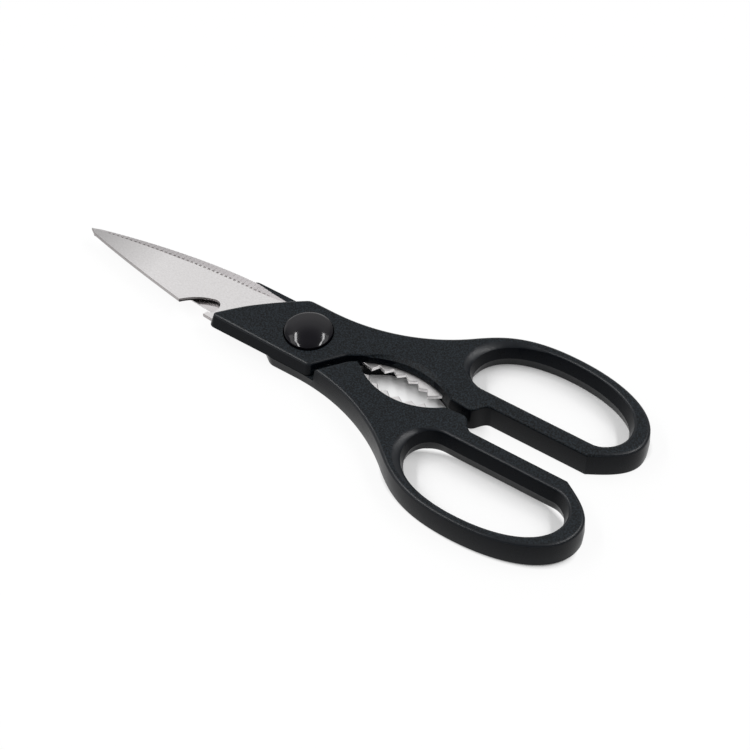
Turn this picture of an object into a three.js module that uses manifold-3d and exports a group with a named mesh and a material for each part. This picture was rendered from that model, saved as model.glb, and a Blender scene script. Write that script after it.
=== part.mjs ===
// Multi-purpose kitchen scissors: two blades on a screw pivot, black moulded handles with finger
// loops, a toothed nutcracker jaw between the necks and a bottle opener notch in the upper blade.
//
// Both halves are drawn in one half frame: origin at the pivot, on the plane where the halves
// slide past each other, +X to the tips, +Z out through the half's own cover. There the finger
// loop and the cutting edge lie on the -Y side and the spine on the +Y side. The lower half is
// that frame turned half round the X axis. Sizes are in millimetres.

import * as THREE from "three";
import { mergeVertices } from "three/addons/utils/BufferGeometryUtils.js";
import Module from "manifold-3d";

const wasm = await Module();
wasm.setup();

// Gap kept between pieces that touch on the real scissors
const FIT = 0.3;

// Blades
const BLADE_THICK = 1.5;
const UPPER_REACH = 91.6;
const LOWER_REACH = 90.6;
const UPPER_EDGE_DEPTH = 11.5;
const LOWER_EDGE_DEPTH = 7.3;
const UPPER_SPINE = 10.9;
const LOWER_SPINE = 10.2;
const HEEL_X = 28.4;
const EDGE_POWER = 1.7;
const UPPER_EDGE_TIP_Y = -1.5;
const LOWER_EDGE_TIP_Y = 0.2;
const TIP_Y = -0.2;
const NOSE_LENGTH = 2.2;
const NOSE_RISE = 1.25;
const SPINE_MID_X = 72.3;
const SPINE_MID_Y = 5.4;
const SPINE_CORNER_X = 46.4;
const SPINE_CORNER_Y = 9.75;
const SPINE_BACK_X = 31.8;
const EDGE_LAND = 0.35;
const BEVEL_WIDTH = 3.1;
const BEVEL_TAPER = 0.75;

// Micro-serrations: grooves that run down the bevel of the upper blade to its edge
const GROOVE_PITCH = 1.5;
const GROOVE_HALF = 0.42;
const GROOVE_DEPTH = 0.38;
const GROOVE_HEEL_CLEAR = 1.2;
const GROOVE_TIP_CLEAR = 5;

// Bottle opener notch in the spine of the upper blade
const NOTCH_FLOOR_X = 35.6;
const NOTCH_FLOOR_Y = 3.0;
const NOTCH_SWEEP_X = 42.2;
const NOTCH_SWEEP_Y = 4.6;
const NOTCH_BACK_X = 32.7;
const NOTCH_BACK_Y = 6.2;
const HOOK_THROAT_X = 35;
const HOOK_THROAT_Y = 8.85;
const HOOK_X = 35.6;

// Tang inside the handle, with the nutcracker teeth on its free edge
const TANG_HALF = 8.5;
const TANG_FRONT_X = -5;
const TANG_NECK_X = -15;
const TANG_NECK_Y = -2.4;
const TANG_EDGE = [
  [-44, -18.4],
  [-33, -14],
  [-21, -10.6],
];
const TANG_END_X = -48.4;
const TANG_END_Y = -14;
const TOOTH_COUNT = 6;
const TOOTH_PITCH = 4.4;
const TOOTH_DEPTH = 1.75;
const LAST_FLANK_DEPTH = 4.9;
const TEETH_X = -35.2;
const TEETH_RADIUS = 26;
const TEETH_INSET = 3;
const ANCHOR_RADIUS = 2.4;
const ANCHOR_POINTS = [
  [-26.5, -8.4],
  [-40, -11.4],
];

// Handle moulding
const HANDLE_THICK = 10.4;
const COVER_DRAFT = 0.55;
const LOOP_DRAFT = 0.25;
const FILLET_HEIGHT = 0.8;
const COVER_FILLET = 0.5;
const LOOP_FILLET = 1.2;
const COVER_HALF = 12.6;
const UPPER_NOSE_X = 32.8;
const LOWER_NOSE_X = 31.4;
const COVER_HEEL_X = 7.6;
const COVER_BELLY_X = 20.9;
const COVER_BELLY_Y = -2.9;
const COVER_REAR_X = -8.3;
const REAR_FOOT_X = -16;
const REAR_FOOT_Y = 2.4;
const CORNER_ROUND = 1.6;
const NOSE_ROUND = 1.4;
const HANDLE_REACH = 115.3;
const LOOP_SPAN = 39.6;
const LOOP_CREST_X = -78.6;
const LOOP_END_Y = -20;
const BAR_INSET = 5.7;
const BAR_END_RUN = 13.3;
const NECK_X = -47.3;
const NECK_Y = -28.9;
const COVER_SIDE_X = -2;
const STOP_INSET = 1.05;
const STOP_BACK_X = -61;
const STOP_RUN = 6.2;
const SHOULDER_GAP = 2.2;

// Pulls that shape the loop's and the neck's curves, measured from the points they join
const BAR_END_PULL_X = 5;
const BAR_END_PULL_Y = 3;
const LOOP_END_PULL = 7;
const LOOP_CREST_PULL = 18;
const NECK_BACK_PULL_X = 6.2;
const NECK_BACK_PULL_Y = 5;
const NECK_FRONT_PULL_X = 11.3;
const NECK_FRONT_PULL_Y = 10;
const COVER_SIDE_PULL = 18;
const LOOP_FULLNESS = 0.6;
const HOLE_END_FULLNESS = 0.5;
const HOLE_FRONT_FULLNESS = 0.55;

// Finger hole: drawn on the parting plane, where the wall bulges furthest into it
const HOLE_BULGE = 1.1;
const RING_SIDE = 4.2;
const RING_END = 7.1;
const BAR_WIDTH = 6.5;
const HOLE_FRONT_X = -52.6;
const HOLE_FRONT_ROUND = 8;
const HOLE_END_ROUND = 7.6;
const RELIEF_LEAN_X = 2.6;
const RELIEF_LEAN_Y = -0.6;
const RELIEF_DEPTH = 2.2;

// Jaw lip: the wall's arc at the tang, its arc under the bevel, and the wider arc at the face
const JAW_X = -38;
const JAW_FRONT_X = -25;
const JAW_DEPTH = 5.6;
const JAW_RADIUS = 34;
const JAW_LIP_DEPTH = 6.6;
const JAW_LIP_RADIUS = 30;
const JAW_FACE_DEPTH = 8.4;
const JAW_FACE_RADIUS = 25;
const JAW_BEVEL = 1.0;

// Pivot
const SHANK_RADIUS = 3;
const THREAD_RADIUS = 2.4;
const THREAD_SINK = 0.8;
const HEAD_RADIUS = 5.4;
const HEAD_THICK = 1.2;
const SLOT_WIDTH = 1.2;
const SLOT_DEPTH = 0.7;
const WASHER_RADIUS = 5.2;
const WASHER_THICK = 0.5;
const WAVE_THICK = 0.4;
const WAVE_HEIGHT = 0.15;
const WAVE_COUNT = 3;
const CAP_RADIUS = 8.05;
const CAP_SKIRT = 0.9;
const CAP_RIM = 1.1;
const CAP_RISE = 3;
const SEAT_DEPTH = 1.2;
const NUT_SINK = 0.15;

// Levels above the sliding plane and radii, worked out from the sizes above
const BLADE_INNER = FIT / 2;
const BLADE_OUTER = BLADE_INNER + BLADE_THICK;
const FACE = HANDLE_THICK / 2;
const SEAT_LEVEL = FACE - SEAT_DEPTH;
const WAVE_LOW = BLADE_OUTER + FIT;
const HEAD_UNDER = WAVE_LOW + WAVE_THICK + 2 * WAVE_HEIGHT + FIT;
const HEAD_TOP = HEAD_UNDER + HEAD_THICK;
const WASHER_LOW = BLADE_OUTER + FIT;
const WASHER_TOP = WASHER_LOW + WASHER_THICK;
const SKIRT_INNER = HEAD_RADIUS + FIT;
const SKIRT_OUTER = SKIRT_INNER + CAP_SKIRT;
const BORE_RADIUS = SKIRT_OUTER + FIT;
const SEAT_RADIUS = CAP_RADIUS + FIT;

// How far a cutter runs past what it cuts, and how finely curves are stepped
const PAST = 2;
const SAME_POINT = 1e-3;
const WELD = 1e-4;
const LEAST_MITRE = 0.5;
const ROUND_STEPS = 36;
const CURVE_STEPS = 10;
const TANG_STEPS = 5;
const FILLET_STEPS = 2;

const point = (x, y) => new THREE.Vector2(x, y);

// Points of a closed path, each once
function ringOf(path, steps = CURVE_STEPS) {
  const points = path.getPoints(steps);
  return points.filter((p, i) => p.distanceTo(points.at(i - 1)) > SAME_POINT);
}

// Moves each side of a ring out by its point's distance, with mitred corners; a clockwise ring
// moves in
function offsetRing(points, distanceAt) {
  const count = points.length;
  return points.map((here, i) => {
    const before = here.clone().sub(points[(i + count - 1) % count]).normalize();
    const after = points[(i + 1) % count].clone().sub(here).normalize();
    const along = before.clone().add(after).normalize();
    const reach = distanceAt(here) / Math.max(LEAST_MITRE, along.dot(before));
    return point(here.x + along.y * reach, here.y - along.x * reach);
  });
}

// Where two lines meet, each given by two points
function crossing(a, b, c, d) {
  const along = b.clone().sub(a);
  const across = d.clone().sub(c);
  const share = c.clone().sub(a).cross(across) / along.cross(across);
  return a.clone().addScaledVector(along, share);
}

// Closed skin over rings of equal counts, each { z, outer, hole }, from the lowest up
function skin(sections) {
  const positions = [];
  const index = [];
  const loops = sections[0].hole ? ["outer", "hole"] : ["outer"];
  const starts = sections.map((section) =>
    loops.map((loop) => {
      const start = positions.length / 3;
      section[loop].forEach((p) => positions.push(p.x, p.y, section.z));
      return start;
    }),
  );
  loops.forEach((loop, k) => {
    const count = sections[0][loop].length;
    for (let level = 0; level + 1 < sections.length; level += 1) {
      const low = starts[level][k];
      const high = starts[level + 1][k];
      for (let i = 0; i < count; i += 1) {
        const next = (i + 1) % count;
        index.push(low + i, low + next, high + next);
        index.push(low + i, high + next, high + i);
      }
    }
  });
  for (const level of [0, sections.length - 1]) {
    const { outer, hole } = sections[level];
    const start = starts[level][0];
    for (const [a, b, c] of THREE.ShapeUtils.triangulateShape(outer, hole ? [hole] : [])) {
      index.push(start + a, start + (level ? b : c), start + (level ? c : b));
    }
  }
  const geometry = new THREE.BufferGeometry();
  geometry.setAttribute("position", new THREE.Float32BufferAttribute(positions, 3));
  geometry.setIndex(index);
  return geometry;
}

// Solid for joining and cutting, from a closed geometry
function solid(geometry) {
  const bare = new THREE.BufferGeometry();
  bare.setAttribute("position", geometry.getAttribute("position"));
  bare.setIndex(geometry.getIndex());
  const merged = mergeVertices(bare, WELD);
  return new wasm.Manifold(
    new wasm.Mesh({
      numProp: 3,
      vertProperties: new Float32Array(merged.getAttribute("position").array),
      triVerts: new Uint32Array(merged.getIndex().array),
    }),
  );
}

// Upright prism over a ring, between two levels
function prism(ring, low, high) {
  return solid(
    skin([
      { z: low, outer: ring },
      { z: high, outer: ring },
    ]),
  );
}

// Body of revolution about Z from [radius, level] points, which run up the outside
function revolve(profile) {
  const points = profile.map(([radius, level]) => point(radius, level));
  return solid(new THREE.LatheGeometry(points, ROUND_STEPS).rotateX(Math.PI / 2));
}

// Upright cylinder between two levels
function drum(x, y, radius, low, high) {
  const geometry = new THREE.CylinderGeometry(radius, radius, high - low, ROUND_STEPS);
  return solid(geometry.rotateX(Math.PI / 2).translate(x, y, (low + high) / 2));
}

// Straight screwdriver slot across a round face, from a level up
function slotCutter(radius, floor) {
  const geometry = new THREE.BoxGeometry(2 * (radius + PAST), SLOT_WIDTH, PAST);
  return solid(geometry.translate(0, 0, floor + PAST / 2));
}

// Goes straight to a corner and rounds it towards the next point
function roundCorner(path, corner, next, radius) {
  const from = path.currentPoint.clone().sub(corner).setLength(radius).add(corner);
  const to = next.clone().sub(corner).setLength(radius).add(corner);
  path.lineTo(from.x, from.y);
  path.quadraticCurveTo(corner.x, corner.y, to.x, to.y);
}

// Quarter turn to a point: sets off along X or along Y, and arrives along the other
function quarterTo(path, x, y, alongX, fullness) {
  const from = path.currentPoint.clone();
  const dx = (x - from.x) * fullness;
  const dy = (y - from.y) * fullness;
  if (alongX) path.bezierCurveTo(from.x + dx, from.y, x, y - dy, x, y);
  else path.bezierCurveTo(from.x, from.y + dy, x - dx, y, x, y);
}

// Blades

// Spine from the tip back to where the blade goes under the cover
function spineRun(reach, spine) {
  const nose = point(reach - NOSE_LENGTH, NOSE_RISE);
  const corner = point(SPINE_CORNER_X, SPINE_CORNER_Y);
  const curve = new THREE.QuadraticBezierCurve(nose, point(SPINE_MID_X, SPINE_MID_Y), corner);
  return [point(reach, TIP_Y), ...curve.getPoints(CURVE_STEPS), point(SPINE_BACK_X, spine)];
}

// Point beside the jaw, at a place counted in teeth and a radius about the teeth's centre
function toothPoint(place, radius) {
  const turn = ((place - (TOOTH_COUNT - 1) / 2) * TOOTH_PITCH) / TEETH_RADIUS;
  const centreY = TEETH_RADIUS - TEETH_INSET;
  return point(TEETH_X - radius * Math.sin(turn), centreY - radius * Math.cos(turn));
}

// Free edge of the tang along the jaw: teeth, or the plain line of their tips
function jawRun(toothed) {
  const root = TEETH_RADIUS + TOOTH_DEPTH;
  const points = [toothPoint(-0.5, root)];
  for (let tooth = 0; tooth < TOOTH_COUNT; tooth += 1) {
    if (toothed && tooth > 0) points.push(toothPoint(tooth - 0.5, root));
    points.push(toothPoint(tooth, TEETH_RADIUS));
  }
  points.push(toothPoint(TOOTH_COUNT - 0.5, TEETH_RADIUS + LAST_FLANK_DEPTH));
  return points;
}

// Rounded end of the tang and its outer edge, forward to the cover's heel
function tangRun(edgeDepth) {
  const path = new THREE.Path();
  path.moveTo(TANG_END_X, TANG_END_Y);
  const edge = TANG_EDGE.map(([x, y]) => point(x, y));
  path.quadraticCurveTo(TANG_END_X, edge[0].y, edge[0].x, edge[0].y);
  path.splineThru([...edge.slice(1), point(TANG_FRONT_X, -TANG_HALF)]);
  path.lineTo(COVER_HEEL_X, -Math.min(edgeDepth, TANG_HALF));
  return path.getPoints(TANG_STEPS);
}

// Cutting edge from the heel forward, plain or grooved, stopping short of the tip
function edgeRun({ reach, edgeDepth, edgeTip, grooved }) {
  const run = reach - HEEL_X;
  const rise = edgeDepth + edgeTip;
  const edgeAt = (along) =>
    point(HEEL_X + along, rise * (along / run) ** EDGE_POWER - edgeDepth);
  const points = [edgeAt(0)];
  const step = grooved ? GROOVE_PITCH : run / CURVE_STEPS;
  const first = grooved ? GROOVE_HEEL_CLEAR : step;
  for (let along = first; along < run - GROOVE_TIP_CLEAR; along += step) {
    if (grooved) points.push(edgeAt(along - GROOVE_HALF));
    points.push(edgeAt(along).add(point(0, grooved ? GROOVE_DEPTH : 0)));
    if (grooved) points.push(edgeAt(along + GROOVE_HALF));
  }
  points.push(edgeAt(run - GROOVE_TIP_CLEAR / 2));
  return points;
}

// Whole outline of a blade and its tang, with the count of points before the cutting edge
function blankRing(blade) {
  const back = [
    ...spineRun(blade.reach, blade.spine),
    point(COVER_BELLY_X, TANG_HALF),
    point(TANG_FRONT_X, TANG_HALF),
    point(TANG_NECK_X, TANG_NECK_Y),
    ...jawRun(blade.toothed),
    ...tangRun(blade.edgeDepth),
  ];
  return { ring: [...back, ...edgeRun(blade)], edgeStart: back.length };
}

// Width of the ground bevel, which narrows towards the tip
function bevelWidthAt(x, reach) {
  return BEVEL_WIDTH * ((reach - x) / (reach - HEEL_X)) ** BEVEL_TAPER;
}

// Flat plate with the bevel ground on its outer side, the pivot hole and the anchor holes
function plate(blade) {
  const { ring, edgeStart } = blankRing(blade);
  const ground = ring.map((p, i) =>
    i < edgeStart ? p : point(p.x, p.y + bevelWidthAt(p.x, blade.reach)),
  );
  let body = solid(
    skin([
      { z: BLADE_INNER, outer: ring },
      { z: BLADE_INNER + EDGE_LAND, outer: ring },
      { z: BLADE_OUTER, outer: ground },
    ]),
  );
  const holes = [[0, 0, SHANK_RADIUS + FIT], ...ANCHOR_POINTS.map((p) => [...p, ANCHOR_RADIUS])];
  for (const [x, y, radius] of holes) {
    body = body.subtract(drum(x, y, radius, BLADE_INNER - PAST, BLADE_OUTER + PAST));
  }
  return body;
}

// Opener notch: a long sweep down from the spine, a tight back and a hooked lip
function notchCutter() {
  const spineAt = (x) => {
    const share = (SPINE_CORNER_X - x) / (SPINE_CORNER_X - SPINE_BACK_X);
    return SPINE_CORNER_Y + (UPPER_SPINE - SPINE_CORNER_Y) * share;
  };
  const hookY = spineAt(HOOK_X);
  const path = new THREE.Path();
  path.moveTo(SPINE_CORNER_X, SPINE_CORNER_Y + PAST);
  path.lineTo(HOOK_X, hookY + PAST);
  path.lineTo(HOOK_X, hookY);
  path.lineTo(HOOK_THROAT_X, HOOK_THROAT_Y);
  path.quadraticCurveTo(NOTCH_BACK_X, HOOK_THROAT_Y, NOTCH_BACK_X, NOTCH_BACK_Y);
  path.quadraticCurveTo(NOTCH_BACK_X, NOTCH_FLOOR_Y, NOTCH_FLOOR_X, NOTCH_FLOOR_Y);
  path.quadraticCurveTo(NOTCH_SWEEP_X, NOTCH_SWEEP_Y, SPINE_CORNER_X, SPINE_CORNER_Y);
  return prism(ringOf(path), BLADE_INNER - PAST, BLADE_OUTER + PAST);
}

const UPPER_BLADE = {
  reach: UPPER_REACH,
  edgeDepth: UPPER_EDGE_DEPTH,
  edgeTip: UPPER_EDGE_TIP_Y,
  spine: UPPER_SPINE,
  coverNose: UPPER_NOSE_X,
  toothed: true,
  grooved: true,
};
const LOWER_BLADE = {
  reach: LOWER_REACH,
  edgeDepth: LOWER_EDGE_DEPTH,
  edgeTip: LOWER_EDGE_TIP_Y,
  spine: LOWER_SPINE,
  coverNose: LOWER_NOSE_X,
  toothed: true,
  grooved: false,
};

const upperBlade = () => plate(UPPER_BLADE).subtract(notchCutter());
const lowerBlade = () => plate(LOWER_BLADE);

// Handles

const REAR_CORNER = point(COVER_REAR_X, COVER_HALF);
const REAR_FOOT = point(REAR_FOOT_X, REAR_FOOT_Y);
const JAW_CENTRE = point(JAW_X, JAW_RADIUS - JAW_DEPTH);
const JAW_FRONT_TURN = -Math.acos((JAW_FRONT_X - JAW_X) / JAW_RADIUS);

// Goes down the cover's rear edge and bends into the jaw's arc
function rearRun(path) {
  const outward = point(Math.cos(JAW_FRONT_TURN), Math.sin(JAW_FRONT_TURN));
  const jawStart = JAW_CENTRE.clone().addScaledVector(outward, JAW_RADIUS);
  const tangent = jawStart.clone().add(point(outward.y, -outward.x));
  const bend = crossing(REAR_CORNER, REAR_FOOT, jawStart, tangent);
  path.lineTo(REAR_FOOT.x, REAR_FOOT.y);
  path.quadraticCurveTo(bend.x, bend.y, jawStart.x, jawStart.y);
}

// Outline on the parting plane: cover, rear edge, jaw, stop, bar, loop and neck
function handleRing(coverNose) {
  const nose = point(coverNose, COVER_HALF);
  const belly = point(COVER_BELLY_X, COVER_BELLY_Y);
  const heel = point(COVER_HEEL_X, -COVER_HALF);
  const noseLean = nose.clone().sub(belly).angle();
  const noseSetback = NOSE_ROUND / Math.tan(noseLean / 2);
  const noseStart = belly.clone().sub(nose).setLength(noseSetback).add(nose);
  const noseCentre = point(nose.x - noseSetback, nose.y - NOSE_ROUND);
  const jawBack = Math.asin((JAW_CENTRE.y + STOP_INSET) / JAW_RADIUS) - Math.PI;
  const barY = -BAR_INSET;
  const barEndX = BAR_END_RUN - HANDLE_REACH;
  const stopEndX = STOP_BACK_X - STOP_RUN;
  const stopMidX = STOP_BACK_X - STOP_RUN / 2;

  const path = new THREE.Path();
  path.moveTo(noseCentre.x, COVER_HALF);
  roundCorner(path, REAR_CORNER, REAR_FOOT, CORNER_ROUND);
  rearRun(path);
  path.absarc(JAW_CENTRE.x, JAW_CENTRE.y, JAW_RADIUS, JAW_FRONT_TURN, jawBack, true);
  path.lineTo(STOP_BACK_X, -STOP_INSET);
  path.bezierCurveTo(stopMidX, -STOP_INSET, stopMidX, barY, stopEndX, barY);
  path.lineTo(barEndX, barY);
  path.bezierCurveTo(
    barEndX - BAR_END_PULL_X,
    barY - BAR_END_PULL_Y,
    -HANDLE_REACH,
    LOOP_END_Y + LOOP_END_PULL,
    -HANDLE_REACH,
    LOOP_END_Y,
  );
  quarterTo(path, LOOP_CREST_X, -LOOP_SPAN, false, LOOP_FULLNESS);
  path.bezierCurveTo(
    LOOP_CREST_X + LOOP_CREST_PULL,
    -LOOP_SPAN,
    NECK_X - NECK_BACK_PULL_X,
    NECK_Y - NECK_BACK_PULL_Y,
    NECK_X,
    NECK_Y,
  );
  path.bezierCurveTo(
    NECK_X + NECK_FRONT_PULL_X,
    NECK_Y + NECK_FRONT_PULL_Y,
    COVER_SIDE_X - COVER_SIDE_PULL,
    -COVER_HALF,
    COVER_SIDE_X,
    -COVER_HALF,
  );
  roundCorner(path, heel, belly, CORNER_ROUND);
  path.quadraticCurveTo(belly.x, belly.y, noseStart.x, noseStart.y);
  const facing = noseLean - Math.PI / 2;
  path.absarc(noseCentre.x, noseCentre.y, NOSE_ROUND, facing, Math.PI / 2, false);
  return ringOf(path);
}

// Finger hole on the parting plane, counter-clockwise
function holeRing() {
  const sideY = -BAR_INSET - BAR_WIDTH;
  const endX = RING_END - HANDLE_REACH;
  const path = new THREE.Path();
  path.moveTo(HOLE_FRONT_X - HOLE_FRONT_ROUND, sideY);
  path.lineTo(endX + HOLE_END_ROUND, sideY);
  quarterTo(path, endX, LOOP_END_Y, true, HOLE_END_FULLNESS);
  quarterTo(path, LOOP_CREST_X, RING_SIDE - LOOP_SPAN, false, LOOP_FULLNESS);
  quarterTo(path, HOLE_FRONT_X, LOOP_END_Y, true, LOOP_FULLNESS);
  quarterTo(path, HOLE_FRONT_X - HOLE_FRONT_ROUND, sideY, false, HOLE_FRONT_FULLNESS);
  return ringOf(path);
}

// Value that goes over from the cover's to the loop's along the neck
function coverToLoop(p, atCover, atLoop) {
  const share = THREE.MathUtils.smoothstep(-p.x, -COVER_REAR_X, -NECK_X);
  return THREE.MathUtils.lerp(atCover, atLoop, share);
}

// Full moulding: drafted away from the parting plane both ways, with rounded face edges
function mouldedBody(coverNose) {
  const outer = handleRing(coverNose);
  const hole = holeRing().reverse();
  const draftAt = (p) => coverToLoop(p, COVER_DRAFT, LOOP_DRAFT);
  const filletAt = (p) => coverToLoop(p, COVER_FILLET, LOOP_FILLET);
  const section = (z, draft, round) => ({
    z,
    outer: offsetRing(outer, (p) => -draft * draftAt(p) - round * filletAt(p)),
    hole: offsetRing(hole, () => -draft * HOLE_BULGE - round * LOOP_FILLET),
  });
  const half = [];
  for (let step = 0; step <= FILLET_STEPS; step += 1) {
    const turn = (step / FILLET_STEPS) * (Math.PI / 2);
    half.push(section(FACE - FILLET_HEIGHT * (1 - Math.sin(turn)), 1, 1 - Math.cos(turn)));
  }
  const mirrored = half.map((s) => ({ ...s, z: -s.z })).reverse();
  return solid(skin([...mirrored, section(0, 0, 0), ...half]));
}

// Finger rest: the hole leaned towards the pivot, so that it bevels the front end of one face
function fingerRelief(side) {
  const bulge = HOLE_BULGE * (1 - RELIEF_DEPTH / FACE);
  const ring = offsetRing(holeRing(), () => bulge);
  const grown = (PAST + RELIEF_DEPTH) / RELIEF_DEPTH;
  const leaned = ring.map((p) => point(p.x + RELIEF_LEAN_X * grown, p.y + RELIEF_LEAN_Y * grown));
  const inner = { z: side * (FACE - RELIEF_DEPTH), outer: ring };
  const outer = { z: side * (FACE + PAST), outer: leaned };
  return solid(skin(side > 0 ? [inner, outer] : [outer, inner]));
}

// Room for the other half's cover: everything ahead of the shoulder, under the sliding plane
function shoulderCutter() {
  const past = REAR_CORNER.clone().sub(REAR_FOOT).add(REAR_CORNER);
  const path = new THREE.Path();
  path.moveTo(past.x, past.y);
  rearRun(path);
  const edge = ringOf(path).map((p) => point(p.x, -p.y));
  edge.reverse();
  const aheadX = 2 * UPPER_NOSE_X;
  const asideY = 2 * COVER_HALF;
  const ahead = [point(aheadX, -past.y), point(aheadX, asideY), point(edge[0].x, asideY)];
  const ring = offsetRing([...edge, ...ahead], () => SHOULDER_GAP);
  return prism(ring, -FACE - PAST, BLADE_INNER);
}

// Jaw lip: bevelled on the face, and cut back under the tang
function jawRings() {
  const circle = (radius, depth) => {
    const path = new THREE.Path();
    path.absarc(JAW_X, radius - depth, radius, 0, 2 * Math.PI, false);
    return ringOf(path, ROUND_STEPS);
  };
  return {
    wall: circle(JAW_RADIUS, JAW_DEPTH),
    lip: circle(JAW_LIP_RADIUS, JAW_LIP_DEPTH),
    face: circle(JAW_FACE_RADIUS, JAW_FACE_DEPTH),
  };
}

// Handle moulded over the tang of a blade, with the seat for the pivot pieces in its cover
function handle(blade) {
  const { wall, lip, face } = jawRings();
  const plain = { ...blade, toothed: false, grooved: false };
  const pocketRing = offsetRing(blankRing(plain).ring, () => FIT);
  let pocket = prism(pocketRing, BLADE_INNER - FIT, BLADE_OUTER + FIT);
  for (const [x, y] of ANCHOR_POINTS) {
    pocket = pocket.subtract(drum(x, y, ANCHOR_RADIUS - FIT, -FACE, FACE));
  }
  const bevel = skin([
    { z: BLADE_OUTER + FIT, outer: wall },
    { z: FACE - JAW_BEVEL, outer: lip },
    { z: FACE, outer: face },
    { z: FACE + PAST, outer: face },
  ]);
  const cutters = [
    shoulderCutter(),
    pocket,
    solid(bevel),
    prism(face, -FACE - PAST, BLADE_INNER - FIT),
    fingerRelief(1),
    fingerRelief(-1),
    drum(0, 0, BORE_RADIUS, 0, FACE + PAST),
    drum(0, 0, SEAT_RADIUS, SEAT_LEVEL, FACE + PAST),
  ];
  const body = mouldedBody(blade.coverNose);
  return cutters.reduce((rest, cutter) => rest.subtract(cutter), body);
}

// Pivot pieces

// Shoulder screw: thread, shoulder through both blades, and a slotted head
function pivotScrew() {
  const body = revolve([
    [0, THREAD_SINK - FACE],
    [THREAD_RADIUS, THREAD_SINK - FACE],
    [THREAD_RADIUS, -BLADE_OUTER],
    [SHANK_RADIUS, -BLADE_OUTER],
    [SHANK_RADIUS, HEAD_UNDER],
    [HEAD_RADIUS, HEAD_UNDER],
    [HEAD_RADIUS, HEAD_TOP],
    [0, HEAD_TOP],
  ]);
  return body.subtract(slotCutter(HEAD_RADIUS, HEAD_TOP - SLOT_DEPTH));
}

// Flat ring; its profile closes on itself
function ringSolid(inner, outer, low, high, waveHeight = 0) {
  const profile = [
    [inner, low],
    [outer, low],
    [outer, high],
    [inner, high],
    [inner, low],
  ];
  const points = profile.map(([radius, level]) => point(radius, level));
  const geometry = new THREE.LatheGeometry(points, ROUND_STEPS).rotateX(Math.PI / 2);
  const place = geometry.getAttribute("position");
  for (let i = 0; i < place.count; i += 1) {
    const turn = Math.atan2(place.getY(i), place.getX(i));
    place.setZ(i, place.getZ(i) + waveHeight * Math.cos(WAVE_COUNT * turn));
  }
  return solid(geometry);
}

// Spring ring with three waves, under the screw head
function waveWasher() {
  const middle = WAVE_LOW + WAVE_HEIGHT;
  return ringSolid(SHANK_RADIUS + FIT, WASHER_RADIUS, middle, middle + WAVE_THICK, WAVE_HEIGHT);
}

const nutWasher = () => ringSolid(THREAD_RADIUS + FIT, WASHER_RADIUS, WASHER_LOW, WASHER_TOP);

// Round nut with a flange in the seat and a slot across its outer face
function pivotNut() {
  const top = FACE - NUT_SINK;
  const bore = THREAD_RADIUS + FIT;
  const low = WASHER_TOP + FIT;
  const body = revolve([
    [bore, low],
    [SKIRT_OUTER, low],
    [SKIRT_OUTER, SEAT_LEVEL + FIT],
    [CAP_RADIUS, SEAT_LEVEL + FIT],
    [CAP_RADIUS, top],
    [bore, top],
    [bore, low],
  ]);
  return body.subtract(slotCutter(CAP_RADIUS, top - SLOT_DEPTH));
}

// Domed cap: its skirt grips the screw head and its rim sits in the cover's seat
function pivotCap() {
  const rim = FACE + CAP_RIM;
  const rise = CAP_RISE - CAP_RIM;
  const radius = (CAP_RADIUS ** 2 + rise ** 2) / (2 * rise);
  const spread = Math.asin(CAP_RADIUS / radius);
  const dome = [];
  for (let step = 1; step <= CURVE_STEPS; step += 1) {
    const turn = spread * (1 - step / CURVE_STEPS);
    dome.push([radius * Math.sin(turn), rim + rise - radius * (1 - Math.cos(turn))]);
  }
  return revolve([
    [0, HEAD_TOP + FIT],
    [SKIRT_INNER, HEAD_TOP + FIT],
    [SKIRT_INNER, HEAD_UNDER],
    [SKIRT_OUTER, HEAD_UNDER],
    [SKIRT_OUTER, SEAT_LEVEL + FIT],
    [CAP_RADIUS, SEAT_LEVEL + FIT],
    [CAP_RADIUS, rim],
    ...dome,
  ]);
}

// Assembly

const steel = { color: 0xd3cfcd, roughness: 0.34, metalness: 0.95 };
const bolt = { color: 0xa9a8a6, roughness: 0.4, metalness: 0.95 };
const black = { color: 0x24282b, roughness: 0.6, metalness: 0 };
const gloss = { color: 0x1b1513, roughness: 0.12, metalness: 0 };

function addPiece(group, name, body, finish) {
  const { vertProperties, triVerts } = body.getMesh();
  const geometry = new THREE.BufferGeometry();
  geometry.setAttribute("position", new THREE.Float32BufferAttribute(vertProperties, 3));
  geometry.setIndex(Array.from(triVerts));
  geometry.computeVertexNormals();
  const mesh = new THREE.Mesh(geometry, new THREE.MeshStandardMaterial(finish));
  mesh.name = name;
  group.add(mesh);
}

const scissors = new THREE.Group();

// The part's origin is under the middle of the whole length, on the table
const pivot = new THREE.Group();
pivot.position.set((HANDLE_REACH - UPPER_REACH) / 2, 0, FACE);
scissors.add(pivot);

const upperHalf = new THREE.Group();
pivot.add(upperHalf);
addPiece(upperHalf, "upper_blade", upperBlade(), steel);
addPiece(upperHalf, "upper_handle", handle(UPPER_BLADE), black);
addPiece(upperHalf, "pivot_screw", pivotScrew(), bolt);
addPiece(upperHalf, "wave_washer", waveWasher(), bolt);
addPiece(upperHalf, "pivot_cap", pivotCap(), gloss);

const lowerHalf = new THREE.Group();
lowerHalf.rotation.x = Math.PI;
pivot.add(lowerHalf);
addPiece(lowerHalf, "lower_blade", lowerBlade(), steel);
addPiece(lowerHalf, "lower_handle", handle(LOWER_BLADE), black);
addPiece(lowerHalf, "nut_washer", nutWasher(), bolt);
addPiece(lowerHalf, "pivot_nut", pivotNut(), bolt);

export default scissors;
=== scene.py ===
import math

import bmesh
import bpy
from mathutils import Matrix, Vector
from mathutils.geometry import interpolate_bezier, intersect_line_line


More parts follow.
